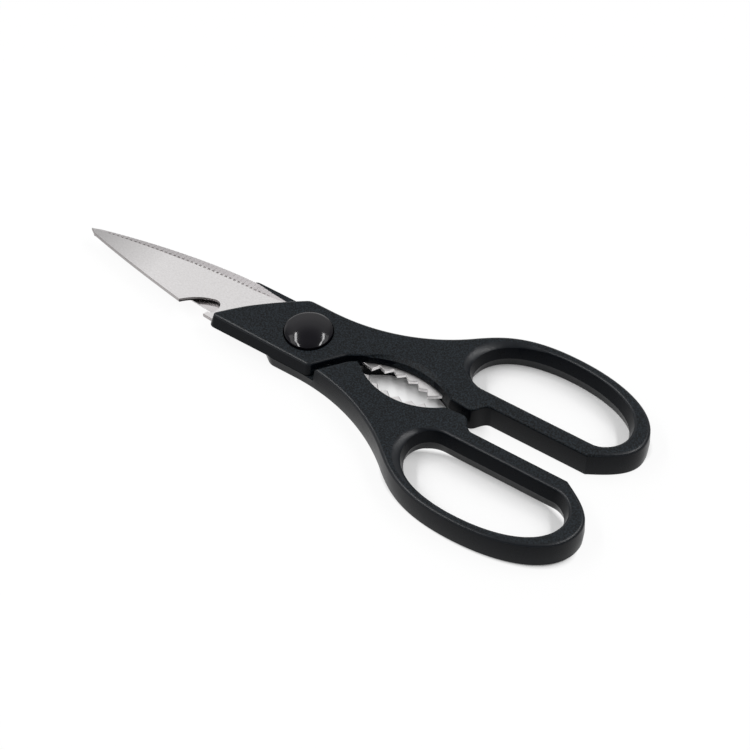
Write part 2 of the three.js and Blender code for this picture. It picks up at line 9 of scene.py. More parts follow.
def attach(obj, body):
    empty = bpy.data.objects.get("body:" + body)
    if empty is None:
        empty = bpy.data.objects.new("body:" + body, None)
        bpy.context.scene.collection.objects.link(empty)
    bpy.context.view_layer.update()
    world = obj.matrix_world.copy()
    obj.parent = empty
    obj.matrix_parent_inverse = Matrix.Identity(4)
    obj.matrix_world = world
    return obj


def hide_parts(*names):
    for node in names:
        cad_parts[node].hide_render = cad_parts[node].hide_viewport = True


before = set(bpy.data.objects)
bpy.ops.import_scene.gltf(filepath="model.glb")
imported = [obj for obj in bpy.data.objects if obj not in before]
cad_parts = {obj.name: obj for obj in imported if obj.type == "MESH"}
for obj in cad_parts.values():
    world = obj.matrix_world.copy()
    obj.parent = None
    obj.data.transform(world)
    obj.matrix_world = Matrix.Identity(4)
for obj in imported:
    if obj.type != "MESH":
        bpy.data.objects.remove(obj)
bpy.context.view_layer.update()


# Studio: a white table top under long softboxes, a bright strip and a dim panel to the left and to
# the right of the scissors. The walls are pale, a low white card stands on the left, and the
# camera's own side of the room is dark.

MM = 0.001

AIM = Vector((-16.75, 3.52, 10.4)) * MM
CAMERA_TURN = math.radians(123.79)
CAMERA_RISE = math.radians(49.58)
CAMERA_DISTANCE = 680 * MM
LENS = 101.2
SENSOR = 36.0

SQUARE = ((-1, -1), (1, -1), (1, 1), (-1, 1))
FLOOR_HALF = 1.5
FLOOR_LEVEL = -0.05 * MM
FLOOR_WHITE = "#f7f7f7"
FLOOR_LIFT = 0.9
# Painted shade: inside these patches the table's painted white glow is weaker, and under the jaw it
# fades out towards the upper teeth
LOOP_SHADE_LIFT = 0.2
LOOP_SHADE_MIDDLE = Vector((-68.5, 23.8, 0)) * MM
LOOP_SHADE_HALF = Vector((26, 11.6, 1)) * MM
LOOP_SHADE_EDGE = (1.27, 1.36)
JAW_SHADE_LIFT = 0.33
JAW_SHADE_START = Vector((-13.5, -5.2)) * MM
JAW_SHADE_END = Vector((-20, -2.2)) * MM
JAW_SHADE_MIDDLE = Vector((-26, 0, 0)) * MM
JAW_SHADE_HALF = Vector((18, 7, 1)) * MM
JAW_SHADE_EDGE = (1.1, 1.8)

SOFTBOX_HEIGHT = 0.7
SOFTBOX_LENGTH = 0.75
STRIP_ASIDE = 0.4
STRIP_WIDTH = 0.06
STRIP_WATTS = 2.6
PANEL_ASIDE = 0.62
PANEL_WIDTH = 0.2
PANEL_WATTS = 0.8

# Each pair is a band of directions, upwards or to one side, over which the light changes to its share
WALL_LIGHT = 1.0
WALL_FOOT = (0, 0.5)
HORIZON_SHARE = 0.6
CEILING = (0.68, 1)
ZENITH_SHARE = 0.4
CAMERA_SIDE = (0, 0.8)
CAMERA_SIDE_SHARE = 0.25
SIDE_WALL = (0.45, 0.75)
SIDE_SHARE = 0.45
CARD_TOP = (0.15, 0.4)
CARD_SHARE = 2.2


def linear(code):
    """Linear colour of an sRGB hex code."""
    shares = [int(code[i : i + 2], 16) / 255 for i in (1, 3, 5)]
    return [s / 12.92 if s <= 0.04045 else ((s + 0.055) / 1.055) ** 2.4 for s in shares] + [1.0]


def add_node(tree, kind, inputs=(), **settings):
    """Adds a node with its settings; an input is a value or the socket that it is linked to."""
    node = tree.nodes.new(kind)
    for name, value in settings.items():
        setattr(node, name, value)
    for name, value in dict(inputs).items():
        if isinstance(value, bpy.types.NodeSocket):
            tree.links.new(value, node.inputs[name])
        else:
            node.inputs[name].default_value = value
    return node


def new_material(name):
    """A material with an empty node tree, and that tree."""
    material = bpy.data.materials.new(name)
    material.use_nodes = True
    material.node_tree.nodes.clear()
    return material, material.node_tree


towards = Vector((math.cos(CAMERA_TURN), math.sin(CAMERA_TURN), 0))
aside = Vector((-towards.y, towards.x, 0))
back = towards * math.cos(CAMERA_RISE) + Vector((0, 0, math.sin(CAMERA_RISE)))

camera = bpy.data.objects.new("camera", bpy.data.cameras.new("camera"))
camera.data.lens = LENS
camera.data.sensor_width = SENSOR
camera.location = AIM + back * CAMERA_DISTANCE
camera.rotation_euler = back.to_track_quat("Z", "Y").to_euler()
bpy.context.collection.objects.link(camera)
bpy.context.scene.camera = camera

for name, over, width, watts in (
    ("strip_left", -STRIP_ASIDE, STRIP_WIDTH, STRIP_WATTS),
    ("strip_right", STRIP_ASIDE, STRIP_WIDTH, STRIP_WATTS),
    ("panel_left", -PANEL_ASIDE, PANEL_WIDTH, PANEL_WATTS),
    ("panel_right", PANEL_ASIDE, PANEL_WIDTH, PANEL_WATTS),
):
    lamp = bpy.data.lights.new(name, "AREA")
    lamp.shape = "RECTANGLE"
    lamp.size = width
    lamp.size_y = SOFTBOX_LENGTH
    lamp.energy = watts
    softbox = bpy.data.objects.new(name, lamp)
    place = aside * over + Vector((0, 0, SOFTBOX_HEIGHT))
    away = place.normalized()
    along = (towards - away * towards.dot(away)).normalized()
    turn = Matrix((along.cross(away), along, away)).transposed().to_4x4()
    softbox.matrix_world = Matrix.Translation(AIM + place) @ turn
    bpy.context.collection.objects.link(softbox)

world = bpy.data.worlds.new("studio")
bpy.context.scene.world = world
world.use_nodes = True
tree = world.node_tree
tree.nodes.clear()
ways = add_node(tree, "ShaderNodeTexCoord").outputs["Generated"]
height = add_node(tree, "ShaderNodeSeparateXYZ", {"Vector": ways}).outputs["Z"]
front, right, left = (
    add_node(tree, "ShaderNodeVectorMath", {0: ways, 1: side}, operation="DOT_PRODUCT").outputs["Value"]
    for side in (towards, aside, -aside)
)
card = add_node(
    tree,
    "ShaderNodeMapRange",
    {
        "Value": height,
        "From Min": CARD_TOP[0],
        "From Max": CARD_TOP[1],
        "To Min": CARD_SHARE,
        "To Max": SIDE_SHARE,
    },
)
strength = WALL_LIGHT
for value, (low, high), at_low, at_high in (
    (height, WALL_FOOT, HORIZON_SHARE, 1),
    (height, CEILING, 1, ZENITH_SHARE),
    (front, CAMERA_SIDE, 1, CAMERA_SIDE_SHARE),
    (right, SIDE_WALL, 1, SIDE_SHARE),
    (left, SIDE_WALL, 1, card.outputs[0]),
):
    share = add_node(
        tree,
        "ShaderNodeMapRange",
        {"Value": value, "From Min": low, "From Max": high, "To Min": at_low, "To Max": at_high},
        interpolation_type="SMOOTHSTEP",
    )
    dimmed = add_node(tree, "ShaderNodeMath", {0: strength, 1: share.outputs[0]}, operation="MULTIPLY")
    strength = dimmed.outputs[0]
sky = add_node(tree, "ShaderNodeBackground", {"Strength": strength})
add_node(tree, "ShaderNodeOutputWorld", {"Surface": sky.outputs[0]})

mesh = bpy.data.meshes.new("table_top")
corners = [(x * FLOOR_HALF, y * FLOOR_HALF, FLOOR_LEVEL) for x, y in SQUARE]
mesh.from_pydata(corners, [], [(0, 1, 2, 3)])
floor = bpy.data.objects.new("table_top", mesh)
bpy.context.collection.objects.link(floor)

# Matt white laminate, mixed with a painted white glow that camera and glossy rays see. The glow is
# weaker in patches under the finger loops and the jaw, so that the table's shade shows there, and in the
# jaw it fades out towards the upper teeth as painted shade.
material, tree = new_material("white laminate")
rays = add_node(tree, "ShaderNodeLightPath")
seen = add_node(
    tree,
    "ShaderNodeMath",
    {0: rays.outputs["Is Camera Ray"], 1: rays.outputs["Is Glossy Ray"]},
    operation="MAXIMUM",
)
spot = add_node(tree, "ShaderNodeTexCoord").outputs["Object"]
along = add_node(tree, "ShaderNodeSeparateXYZ", {"Vector": spot})
apart = add_node(tree, "ShaderNodeMath", {0: along.outputs["Y"]}, operation="ABSOLUTE")
mirrored = add_node(tree, "ShaderNodeCombineXYZ", {"X": along.outputs["X"], "Y": apart.outputs[0]})
# Painted shade: the jaw's glow falls to nothing towards the upper teeth
jaw_shade = JAW_SHADE_LIFT
for name, start, end in zip("XY", JAW_SHADE_START, JAW_SHADE_END):
    share = add_node(
        tree,
        "ShaderNodeMapRange",
        {"Value": along.outputs[name], "From Min": start, "From Max": end},
    )
    fading = add_node(tree, "ShaderNodeMath", {0: jaw_shade, 1: share.outputs[0]}, operation="MULTIPLY")
    jaw_shade = fading.outputs[0]
lifts = []
for place, middle, half, edge, shade in (
    (mirrored.outputs[0], LOOP_SHADE_MIDDLE, LOOP_SHADE_HALF, LOOP_SHADE_EDGE, LOOP_SHADE_LIFT),
    (spot, JAW_SHADE_MIDDLE, JAW_SHADE_HALF, JAW_SHADE_EDGE, jaw_shade),
):
    apart = add_node(tree, "ShaderNodeVectorMath", {0: place, 1: middle}, operation="SUBTRACT")
    shares = add_node(tree, "ShaderNodeVectorMath", {0: apart.outputs[0], 1: half}, operation="DIVIDE")
    away = add_node(tree, "ShaderNodeVectorMath", {0: shares.outputs[0]}, operation="LENGTH")
    lifted = add_node(
        tree,
        "ShaderNodeMapRange",
        {
            "Value": away.outputs["Value"],
            "From Min": edge[0],
            "From Max": edge[1],
            "To Min": shade,
            "To Max": FLOOR_LIFT,
        },
    )
    lifts.append(lifted.outputs[0])
level = add_node(tree, "ShaderNodeMath", {0: lifts[0], 1: lifts[1]}, operation="MINIMUM")
lift = add_node(tree, "ShaderNodeMath", {0: seen.outputs[0], 1: level.outputs[0]}, operation="MULTIPLY")
matt = add_node(tree, "ShaderNodeBsdfDiffuse", {"Color": linear(FLOOR_WHITE)})
glow = add_node(tree, "ShaderNodeEmission")
mix = add_node(tree, "ShaderNodeMixShader", {0: lift.outputs[0], 1: matt.outputs[0], 2: glow.outputs[0]})
add_node(tree, "ShaderNodeOutputMaterial", {"Surface": mix.outputs[0]})
mesh.materials.append(material)

bpy.context.scene.view_settings.view_transform = "Standard"


# Upper blade: a plate of stainless steel, blanked to its outline and then ground. Its tang lies in
# the handle with the nutcracker teeth on its free edge, the opener notch is blanked out of the
# spine, and fine grooves are ground down the bevel so that the edge grips what it cuts.

# Each half's sizes are in millimetres in its own frame, with the pivot at the origin where the blades
# slide on each other, +X towards the tip and +Z outwards through its own cover.
PIVOT = Vector((11.85, 0, 5.2)) * MM
UPPER_HALF = Matrix.Translation(PIVOT) @ Matrix.Scale(MM, 4)

FIT = 0.3
BLADE_THICK = 1.5
BLADE_INNER = FIT / 2
BLADE_OUTER = BLADE_INNER + BLADE_THICK
EDGE_LAND = 0.35
EDGE_BREAK = 0.2
BEVEL_WIDTH = 4.0
BEVEL_TAPER = 0.7
BEVEL_POWER = 1.75
BEVEL_LEAN = 0.1
BEVEL_START_X = 13.0
HEEL_X = 28.4
EDGE_POWER = 1.7
EDGE_TIP_CLEAR = 2.5
TIP_Y = -0.2
NOSE_LENGTH = 2.2
NOSE_RISE = 1.25
SPINE_MID = Vector((72.3, 5.4))
SPINE_CORNER = Vector((46.4, 9.75))
SPINE_BACK_X = 31.8
SHANK_RADIUS = 3.0

NOTCH_FLOOR = Vector((35.6, 3.0))
NOTCH_SWEEP = Vector((42.2, 4.6))
NOTCH_BACK = Vector((32.7, 6.2))
HOOK_THROAT = Vector((35, 8.85))
HOOK_X = 35.6
NOTCH_BREAK = 0.6

TANG_TOP = [(20.9, 8.5), (-5, 8.5), (-15, -2.4)]
TANG_END = Vector((-48.4, -14))
TANG_EDGE = [(-44, -18.4), (-33, -14), (-21, -10.6), (-5, -8.5)]
TANG_HALF = 8.5
TANG_HEEL_X = 7.6
TEETH = 6
TOOTH_PITCH = 4.4
TOOTH_DEPTH = 1.75
LAST_FLANK_DEPTH = 4.9
TEETH_X = -35.2
TEETH_RADIUS = 26.0
TEETH_INSET = 3.0

UPPER_BLADE = {"reach": 91.6, "depth": 11.5, "edge_tip": -1.5, "spine": 10.9}

GROOVE_PITCH = 1.7
GROOVE_RADIUS = 0.16
GROOVE_START = 0.3
GROOVE_RUN = 0.85
PIT_RADIUS = 0.5
PIT_END_RADIUS = 0.4
PIT_START = -0.02
PIT_RUN = 0.22
GROOVE_START_X = 22.4
GROOVE_TIP_CLEAR = 6.5
CUTTER_SIDES = 16

PAST = 1.0
CURVE_STEPS = 24
ROUND_STEPS = 128
LEAST_MITRE = 0.5
CRISP_ANGLE = math.radians(28)


def bezier(start, pull_a, pull_b, end, steps=CURVE_STEPS):
    """Points of a curve between two points, without the last one."""
    points = [Vector((*p, 0)) for p in (start, pull_a, pull_b, end)]
    return [p.xy for p in interpolate_bezier(*points, steps + 1)[:-1]]


def bend(start, corner, end, steps=CURVE_STEPS):
    """Points of a curve that leaves and arrives along the lines to one corner, without the last."""
    return bezier(start, start.lerp(corner, 2 / 3), end.lerp(corner, 2 / 3), end, steps)


def arc(centre, radius, start, end, steps=CURVE_STEPS):
    """Points of an arc between two turns, without the last one."""
    turns = [start + (end - start) * i / steps for i in range(steps)]
    return [centre + Vector((math.cos(t), math.sin(t))) * radius for t in turns]


def circle(radius, centre=Vector((0, 0))):
    """A full ring, round the pivot if nothing else is given."""
    return arc(centre, radius, 0, math.tau, ROUND_STEPS)


def offset(ring, distances):
    """Moves each side of a counter-clockwise ring out by a distance of its own point."""
    moved = []
    for i, here in enumerate(ring):
        before = (here - ring[i - 1]).normalized()
        after = (ring[(i + 1) % len(ring)] - here).normalized()
        along = (before + after).normalized()
        reach = distances[i] / max(LEAST_MITRE, along.dot(before))
        moved.append(here + Vector((along.y, -along.x)) * reach)
    return moved


def grown(ring, distance):
    """A counter-clockwise ring moved out by the same distance all round."""
    return offset(ring, [distance] * len(ring))


def at_level(ring, z):
    """A flat ring as points in space."""
    return [Vector((p.x, p.y, z)) for p in ring]


def skin(name, outer, hole=()):
    """A closed piece over rings of points, one above the other, with an inner wall if it has a hole."""
    mould = bmesh.new()
    ends = [[], []]
    for rings in (outer, hole):
        walls = [[mould.verts.new(p) for p in ring] for ring in rings]
        for low, high in zip(walls, walls[1:]):
            for i in range(len(low)):
                mould.faces.new((low[i - 1], low[i], high[i], high[i - 1]))
        for k, wall in enumerate((walls[0], walls[-1]) if walls else ()):
            ends[k] += [mould.edges.get((wall[i - 1], wall[i])) for i in range(len(wall))]
    for edges in ends:
        bmesh.ops.triangle_fill(mould, use_beauty=True, edges=edges)
    bmesh.ops.recalc_face_normals(mould, faces=mould.faces)
    mesh = bpy.data.meshes.new(name)
    mould.to_mesh(mesh)
    mould.free()
    piece = bpy.data.objects.new(name, mesh)
    bpy.context.collection.objects.link(piece)
    return piece


def prism(name, ring, low, high):
    """An upright solid over a flat ring."""
    return skin(name, [at_level(ring, low), at_level(ring, high)])


def plain_mesh(piece):
    """Turns a piece's modifiers into its mesh."""
    bpy.context.view_layer.update()
    depsgraph = bpy.context.evaluated_depsgraph_get()
    mesh = bpy.data.meshes.new_from_object(piece.evaluated_get(depsgraph))
    piece.modifiers.clear()
    piece.data = mesh


def carve(piece, tools):
    """Cuts the tools out of a piece, which keeps their finish on the cuts, and throws them away."""
    for tool in tools:
        cut = piece.modifiers.new(tool.name, "BOOLEAN")
        cut.operation = "DIFFERENCE"
        cut.solver = "EXACT"
        cut.material_mode = "TRANSFER"
        cut.object = tool
    plain_mesh(piece)
    for tool in tools:
        bpy.data.objects.remove(tool)


def settle(piece, half):
    """Moves a piece from its half's frame to its place, with smooth curves and crisp corners."""
    piece.data.transform(half)
    piece.data.shade_smooth()
    piece.data.set_sharp_from_angle(angle=CRISP_ANGLE)
    evening = piece.modifiers.new("even shading", "WEIGHTED_NORMAL")
    evening.keep_sharp = True
    plain_mesh(piece)


def tooth_point(place, radius):
    """Point beside the jaw, at a place counted in teeth and a radius about the teeth's centre."""
    turn = (place - (TEETH - 1) / 2) * TOOTH_PITCH / TEETH_RADIUS
    centre = Vector((TEETH_X, TEETH_RADIUS - TEETH_INSET))
    return centre - Vector((math.sin(turn), math.cos(turn))) * radius


def blade_back(blade, toothed=True):
    """Outline from the tip along the spine, the jaw and the tang to the cover's heel."""
    reach = blade["reach"]
    ring = [Vector((reach, TIP_Y))]
    ring += bend(Vector((reach - NOSE_LENGTH, NOSE_RISE)), SPINE_MID, SPINE_CORNER)
    ring += [SPINE_CORNER, Vector((SPINE_BACK_X, blade["spine"]))]
    ring += [Vector(p) for p in TANG_TOP]
    root = TEETH_RADIUS + TOOTH_DEPTH
    for tooth in range(TEETH):
        if toothed or tooth == 0:
            ring.append(tooth_point(tooth - 0.5, root))
        ring.append(tooth_point(tooth, TEETH_RADIUS))
    ring.append(tooth_point(TEETH - 0.5, TEETH_RADIUS + LAST_FLANK_DEPTH))
    ring += bend(TANG_END, Vector((TANG_END.x, TANG_EDGE[0][1])), Vector(TANG_EDGE[0]))
    ring += [Vector(p) for p in TANG_EDGE]
    return ring + [Vector((TANG_HEEL_X, -min(blade["depth"], TANG_HALF)))]


def edge_point(blade, x):
    """Point of the cutting edge, which runs on straight behind the heel, under the cover."""
    if x < HEEL_X:
        share = (x - TANG_HEEL_X) / (HEEL_X - TANG_HEEL_X)
        start = min(blade["depth"], TANG_HALF)
        return Vector((x, -start - (blade["depth"] - start) * share))
    share = (x - HEEL_X) / (blade["reach"] - HEEL_X)
    rise = (blade["depth"] + blade["edge_tip"]) * share**EDGE_POWER
    return Vector((x, rise - blade["depth"]))


def edge_row(blade, start_x, end_x, steps):
    """Points of the cutting edge, evenly spread along the blade."""
    return [edge_point(blade, start_x + (end_x - start_x) * i / steps) for i in range(steps + 1)]


def blade_edge(blade):
    """Cutting edge from under the cover forward, stopping short of the tip."""
    curved = edge_row(blade, HEEL_X, blade["reach"] - EDGE_TIP_CLEAR, 2 * CURVE_STEPS)
    return [edge_point(blade, BEVEL_START_X)] + curved


def bevel_width(blade, x):
    """Width of the ground bevel, which starts under the cover and narrows towards the tip."""
    if x < HEEL_X:
        inner = BEVEL_WIDTH - blade["depth"] - BEVEL_LEAN * (HEEL_X - x)
        return inner - edge_point(blade, x).y
    share = (x - HEEL_X) / (blade["reach"] - HEEL_X)
    return BEVEL_WIDTH * (1 - BEVEL_TAPER * share**BEVEL_POWER)


def blade_plate(name, blade):
    """Flat plate with the bevel on its outer side and its sharp edges broken."""
    plain = blade_back(blade)
    ring = plain + blade_edge(blade)
    broken = grown(ring, -EDGE_BREAK)

    def ground(points, level):
        share = (level - BLADE_INNER - EDGE_LAND) / (BLADE_THICK - EDGE_LAND)
        widths = [0] * len(plain) + [bevel_width(blade, p.x) for p in points[len(plain) :]]
        return [Vector((p.x, p.y + width * share, level)) for p, width in zip(points, widths)]

    return skin(
        name,
        [
            at_level(broken, BLADE_INNER),
            at_level(ring, BLADE_INNER + EDGE_BREAK),
            at_level(ring, BLADE_INNER + EDGE_LAND),
            ground(ring, BLADE_OUTER - EDGE_BREAK),
            ground(broken, BLADE_OUTER),
        ],
    )


def notch_tool():
    """Opener notch: a long sweep down from the spine, a tight back and a hooked lip."""
    share = (SPINE_CORNER.x - HOOK_X) / (SPINE_CORNER.x - SPINE_BACK_X)
    hook = Vector((HOOK_X, SPINE_CORNER.y + (UPPER_BLADE["spine"] - SPINE_CORNER.y) * share))
    over = Vector((0, PAST))
    ring = [SPINE_CORNER + over, hook + over, hook]
    ring += bend(HOOK_THROAT, Vector((NOTCH_BACK.x, HOOK_THROAT.y)), NOTCH_BACK)
    ring += bend(NOTCH_BACK, Vector((NOTCH_BACK.x, NOTCH_FLOOR.y)), NOTCH_FLOOR)
    ring += bend(NOTCH_FLOOR, NOTCH_SWEEP, SPINE_CORNER)
    ring.append(SPINE_CORNER)
    levels = (BLADE_INNER - PAST, BLADE_INNER + NOTCH_BREAK, BLADE_OUTER + PAST)
    notch = skin("notch", [at_level(ring, z) for z in levels])
    notch.data.materials.append(notch_shade_finish)
    notch.data.materials.append(burnished_finish)
    # Painted shade: the wall's lowest band, next to the inner face, takes the nearly black finish
    for face in notch.data.polygons:
        face.material_index = 1 if face.center.z > levels[1] else 0
    return notch


def pivot_hole():
    """Cutter for the hole that the pivot screw's shank goes through."""
    return prism("pivot hole", circle(SHANK_RADIUS + FIT), BLADE_INNER - PAST, BLADE_OUTER + PAST)


def marked_steel(name, marks, dark, light, roughness, shade):
    """Steel with marks of a length and width in millimetres, painted darker from one X to another as
    shade.
    """
    material, tree = new_material(name)
    coords = add_node(tree, "ShaderNodeTexCoord").outputs["Object"]
    length, width = (1 / (size * MM) for size in marks)
    lines = add_node(tree, "ShaderNodeMapping", {"Vector": coords, "Scale": (length, width, width)})
    grit = add_node(tree, "ShaderNodeTexNoise", {"Vector": lines.outputs[0], "Scale": 1, "Detail": 3})
    tint = add_node(
        tree,
        "ShaderNodeMix",
        {0: grit.outputs[0], 6: linear(dark), 7: linear(light)},
        data_type="RGBA",
    )
    # Painted shade: the colour darkens along X from start to end, down to the given share
    start, end, share = shade
    along = add_node(tree, "ShaderNodeSeparateXYZ", {"Vector": coords})
    painted_tip_shade = add_node(
        tree,
        "ShaderNodeMapRange",
        {
            "Value": along.outputs["X"],
            "From Min": start * MM,
            "From Max": end * MM,
            "To Min": 1,
            "To Max": share,
        },
    )
    shaded = add_node(
        tree, "ShaderNodeVectorMath", {0: tint.outputs[2], "Scale": painted_tip_shade.outputs[0]}, operation="SCALE"
    )
    rough = add_node(
        tree,
        "ShaderNodeMapRange",
        {"Value": grit.outputs[0], "To Min": roughness[0], "To Max": roughness[1]},
    )
    steel = add_node(
        tree,
        "ShaderNodeBsdfPrincipled",
        {"Base Color": shaded.outputs[0], "Metallic": 1.0, "Roughness": rough.outputs[0]},
    )
    add_node(tree, "ShaderNodeOutputMaterial", {"Surface": steel.outputs[0]})
    return material


# Satin-ground steel: fine grinding leaves marks 0.2 mm wide, which blur what the face mirrors into one
# soft grey; towards the tip it is painted darker, as shade. The marks are drawn 0.4 mm wide.
# Painted shade: the face darkens to 0.6 of its colour from 73 mm to 98 mm along X
satin_finish = marked_steel(
    "satin-ground stainless steel",
    marks=(0.8, 0.4),
    dark="#dedbdb",
    light="#fffdfd",
    roughness=(0.32, 0.4),
    shade=(73, 98, 0.6),
)

# Wheel-ground steel: the bevel keeps the wheel's coarser marks, so it is greyer than the face, and
# towards the tip it is painted darker, as shade. Its grooves end in rougher pits, whose colour is
# painted darker than the bevel's as shade in the pits. The marks are 0.1 mm wide and drawn 0.3 mm wide.
# Painted shade: from 38 mm to 88 mm along X the colour falls to 0.74 of itself
BEVEL_SHADE = (38, 88, 0.74)
bevel_finish = marked_steel(
    "wheel-ground stainless steel",
    marks=(0.3, 0.3),
    dark="#d2cecf",
    light="#e8e4e5",
    roughness=(0.45, 0.55),
    shade=BEVEL_SHADE,
)
pit_shade_finish = marked_steel(
    "wheel-cut stainless steel",
    marks=(0.3, 0.3),
    dark="#b8b4b4",
    light="#cdc9c9",
    roughness=(0.55, 0.65),
    shade=BEVEL_SHADE,
)

# Fine-ground steel: the inner faces rub on each other, so they are ground finer and mirror more
# clearly. Their marks are 0.1 mm wide and drawn 0.3 mm wide.
# Painted shade: these finishes darken to 0.8 of their colour from 73 mm to 98 mm along X
TIP_SHADE = (73, 98, 0.8)
inner_finish = marked_steel(
    "fine-ground stainless steel",
    marks=(0.6, 0.3),
    dark="#dcd8d8",
    light="#f2eeee",
    roughness=(0.12, 0.2),
    shade=TIP_SHADE,
)

# Sheared steel: the punch leaves a dull grey wall on the spine. In the notch the wall is darker, and its
# lowest band is painted nearly black, as shade under the notch. The marks are 0.1 mm wide and drawn 0.3
# mm wide.
sheared_finish, burnished_finish, notch_shade_finish = (
    marked_steel(
        f"{manner} stainless steel",
        marks=(0.3, 0.3),
        dark=dark,
        light=light,
        roughness=roughness,
        shade=TIP_SHADE,
    )
    for manner, dark, light, roughness in (
        ("sheared", "#a4a0a0", "#c2bebe", (0.5, 0.6)),
        ("burnished", "#5c5959", "#7e7a7a", (0.4, 0.5)),
        ("torn", "#0f0e0e", "#242222", (0.5, 0.6)),
    )
)

# The facing is the share of a face's normal along one axis of its half
BEVEL_FACING = (0.2, 0.97)
SPINE_FACING = 0.5
SPINE_START_X = 20.0
INNER_FACING = 0.9


def finish_blade(blade):
    """Gives a blade its finish, with others on the bevel, the spine's wall and the inner face."""
    first = len(blade.data.materials)
    for finish in (bevel_finish, sheared_finish, inner_finish):
        blade.data.materials.append(finish)
    low, high = BEVEL_FACING
    for face in blade.data.polygons:
        if face.material_index == 0 and face.normal.y < -low and low < face.normal.z < high:
            face.material_index = first
        elif face.material_index == 0 and face.normal.y > SPINE_FACING and face.center.x > SPINE_START_X:
            face.material_index = first + 1
        elif face.normal.z < -INNER_FACING and face.center.x > SPINE_START_X:
            face.material_index = first + 2


# A row of cones along the bevel's inner line; each sets off down the bevel from there
tree = bpy.data.node_groups.new("bevel grooves", "GeometryNodeTree")
tree.interface.new_socket("Line", in_out="INPUT", socket_type="NodeSocketGeometry")
for name in ("Pitch", "Radius", "End Radius", "Start", "Run"):
    tree.interface.new_socket(name, in_out="INPUT", socket_type="NodeSocketFloat")
tree.interface.new_socket("Finish", in_out="INPUT", socket_type="NodeSocketMaterial")
tree.interface.new_socket("Cutters", in_out="OUTPUT", socket_type="NodeSocketGeometry")
given = add_node(tree, "NodeGroupInput").outputs
line = add_node(tree, "GeometryNodeMeshToCurve", {"Mesh": given["Line"]})
places = add_node(
    tree,
    "GeometryNodeCurveToPoints",
    {"Curve": line.outputs[0], "Length": given["Pitch"]},
    mode="LENGTH",
)
down = add_node(
    tree, "GeometryNodeInputNamedAttribute", {"Name": "down"}, data_type="FLOAT_VECTOR"
)
turn = add_node(tree, "FunctionNodeAlignRotationToVector", {"Vector": down.outputs[0]}, axis="Z")
length = add_node(tree, "ShaderNodeVectorMath", {0: down.outputs[0]}, operation="LENGTH")
size = add_node(tree, "ShaderNodeCombineXYZ", {"X": 1, "Y": 1, "Z": length.outputs["Value"]})
cone = add_node(
    tree,
    "GeometryNodeMeshCone",
    {
        "Vertices": CUTTER_SIDES,
        "Radius Bottom": given["Radius"],
        "Radius Top": given["End Radius"],
        "Depth": given["Run"],
    },
)
start = add_node(tree, "ShaderNodeCombineXYZ", {"Z": given["Start"]})
moved = add_node(
    tree, "GeometryNodeTransform", {"Geometry": cone.outputs["Mesh"], "Translation": start.outputs[0]}
)
row = add_node(
    tree,
    "GeometryNodeInstanceOnPoints",
    {
        "Points": places.outputs["Points"],
        "Instance": moved.outputs[0],
        "Rotation": turn.outputs[0],
        "Scale": size.outputs[0],
    },
)
solids = add_node(tree, "GeometryNodeRealizeInstances", {"Geometry": row.outputs[0]})
finished = add_node(
    tree, "GeometryNodeSetMaterial", {"Geometry": solids.outputs[0], "Material": given["Finish"]}
)
add_node(tree, "NodeGroupOutput", {"Cutters": finished.outputs[0]})

edge = edge_row(UPPER_BLADE, GROOVE_START_X, UPPER_BLADE["reach"] - GROOVE_TIP_CLEAR, CURVE_STEPS)
widths = [bevel_width(UPPER_BLADE, p.x) for p in edge]
mesh = bpy.data.meshes.new("bevel line")
mesh.from_pydata(
    [(p.x, p.y + width, BLADE_OUTER) for p, width in zip(edge, widths)],
    [(i, i + 1) for i in range(CURVE_STEPS)],
    [],
)
ways = mesh.attributes.new("down", "FLOAT_VECTOR", "POINT")
for way, width in zip(ways.data, widths):
    way.vector = (0, -width, EDGE_LAND - BLADE_THICK)


def groove_row(name, radius, end_radius, start, run, finish):
    """One row of cutters down the bevel; their start and run are shares of the bevel's width."""
    row = bpy.data.objects.new(name, mesh)
    bpy.context.collection.objects.link(row)
    rows = row.modifiers.new("rows", "NODES")
    rows.node_group = tree
    settings = {
        "Pitch": GROOVE_PITCH,
        "Radius": radius,
        "End Radius": end_radius,
        "Start": start,
        "Run": run,
        "Finish": finish,
    }
    for socket in tree.interface.items_tree:
        if socket.name in settings:
            rows[socket.identifier] = settings[socket.name]
    plain_mesh(row)
    return row


blade = blade_plate("blade_upper", UPPER_BLADE)
blade.data.materials.append(satin_finish)
grooves = groove_row(
    "grooves", GROOVE_RADIUS, GROOVE_RADIUS, GROOVE_START, GROOVE_RUN, bevel_finish
)
pits = groove_row("pits", PIT_RADIUS, PIT_END_RADIUS, PIT_START, PIT_RUN, pit_shade_finish)
carve(blade, [notch_tool(), pivot_hole(), grooves, pits])
finish_blade(blade)
settle(blade, UPPER_HALF)
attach(blade, "upper_half")
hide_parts("upper_blade")


# Lower blade: the same steel plate turned over, a little shorter and shallower. Its spine has no
# notch, and its bevel is ground plain.

LOWER_HALF = UPPER_HALF @ Matrix.Rotation(math.pi, 4, "X")
LOWER_BLADE = {"reach": 90.6, "depth": 7.3, "edge_tip": 0.2, "spine": 10.2}

blade = blade_plate("blade_lower", LOWER_BLADE)
blade.data.materials.append(satin_finish)
carve(blade, [pivot_hole()])
finish_blade(blade)
settle(blade, LOWER_HALF)
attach(blade, "lower_half")
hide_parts("lower_blade")


# Upper handle: black polyamide, moulded in one shot round the blade's tang. The cover over the
# pivot, the neck, the jaw's lip and the finger loop are one piece, drafted both ways from a parting
# line half way up its wall.

